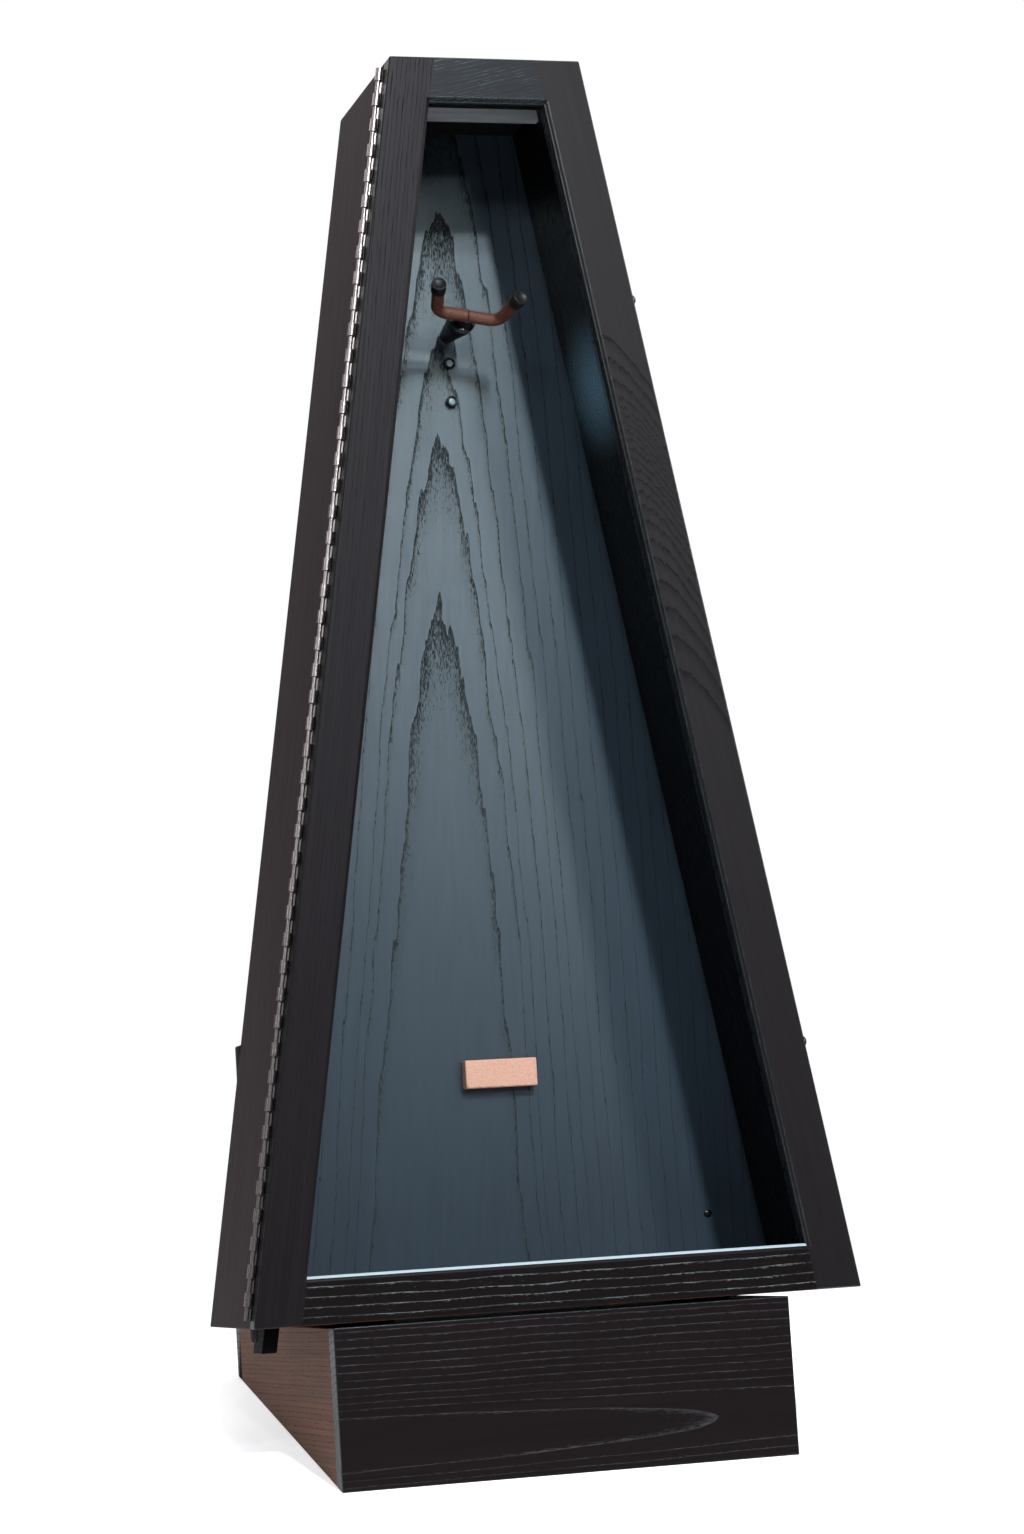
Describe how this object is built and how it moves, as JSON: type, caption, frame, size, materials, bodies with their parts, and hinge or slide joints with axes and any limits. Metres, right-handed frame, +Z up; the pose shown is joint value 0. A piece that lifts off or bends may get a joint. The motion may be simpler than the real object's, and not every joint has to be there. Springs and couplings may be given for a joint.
{
  "type": "guitar display case",
  "caption": "Tapered floor-standing display case for a guitar: glazed door on a full-length hinge, swivelling padded yoke and cork rest inside, on a plinth that leans it back.",
  "frame": {"origin": "on the floor, in the middle of the plinth's front board's underside", "axes": "+Z up, +X to the right seen from the front, +Y to the rear; the case leans back 12 degrees about X"},
  "size_m": [0.6051, 0.4888, 1.3454],
  "materials": {
    "black_ash": "black stain over open-grain ash, satin",
    "brown_ash": "dark brown stain over ash, satin",
    "panel_ash": "black stain over ash veneer, satin",
    "bare_wood": "unfinished softwood",
    "nickel": "nickel plated, satin",
    "steel": "zinc plated",
    "bright_steel": "polished",
    "brass": "plain",
    "black_metal": "black powder coat, satin",
    "glass": "clear float glass",
    "brown_sleeve": "soft brown tube, matt",
    "dark_rubber": "moulded, semi-matt",
    "black_plastic": "moulded, glossy",
    "cork": "compressed cork, speckled"
  },
  "bodies": {
    "case": {"plinth_front": "black_ash", "plinth_left": "brown_ash", "plinth_right": "brown_ash", "plinth_rear": "black_ash", "plinth_deck": "black_ash", "cleat_left": "bare_wood", "cleat_right": "bare_wood", "spacer_pads": "dark_rubber", "case_bolts": "steel", "bolt_inserts": "brass", "side_left": "brown_ash", "side_right": "black_ash", "top_board": "black_ash", "bottom_board": "brown_ash", "back_panel": "panel_ash", "top_strip": "black_ash", "rear_batten": "black_ash", "batten_screws": "steel", "under_block": "black_plastic", "under_peg": "black_plastic", "case_leaf": "nickel", "hinge_pin": "nickel", "case_leaf_screws": "steel", "latch_pivots": "nickel", "door_bumpers": "dark_rubber", "hanger_stud": "steel", "hanger_neck": "black_metal", "swivel_washer": "bright_steel", "hole_plugs": "black_plastic", "corner_plug": "black_plastic", "cork_rest": "cork"},
    "door": {"door_leaf": "nickel", "door_leaf_screws": "steel", "door_stile_left": "black_ash", "door_stile_right": "black_ash", "door_rail_top": "black_ash", "door_rail_bottom": "black_ash", "door_glass": "glass", "bead_left": "black_ash", "bead_right": "black_ash", "bead_top": "black_ash", "bead_bottom": "black_ash", "latch_studs": "nickel"},
    "yoke": {"yoke": "black_metal", "sleeve_left": "brown_sleeve", "sleeve_right": "brown_sleeve", "cap_left": "dark_rubber", "cap_right": "dark_rubber"},
    "upper_hook": {"hook_upper": "nickel"},
    "lower_hook": {"hook_lower": "nickel"}
  },
  "joints": [
    {"name": "door_hinge", "type": "hinge", "parent": "case", "child": "door", "pos_m": [-0.20264, 0.16731, 0.74506], "axis": [-0.1641, -0.2051, -0.9649], "range_deg": [0, 170]},
    {"name": "yoke_swivel", "type": "hinge", "parent": "case", "child": "yoke", "pos_m": [-0.003, 0.33355, 1.09546], "axis": [0, 0.9781, -0.2079], "range_deg": [-54, 36]},
    {"name": "upper_hook_pivot", "type": "hinge", "parent": "case", "child": "upper_hook", "pos_m": [0.13892, 0.27459, 1.09943], "axis": [0.9864, 0.0341, 0.1605], "range_deg": [0, 257.8]},
    {"name": "lower_hook_pivot", "type": "hinge", "parent": "case", "child": "lower_hook", "pos_m": [0.26199, 0.12081, 0.37599], "axis": [0.9864, 0.0341, 0.1605], "range_deg": [0, 257.8]}
  ]
}
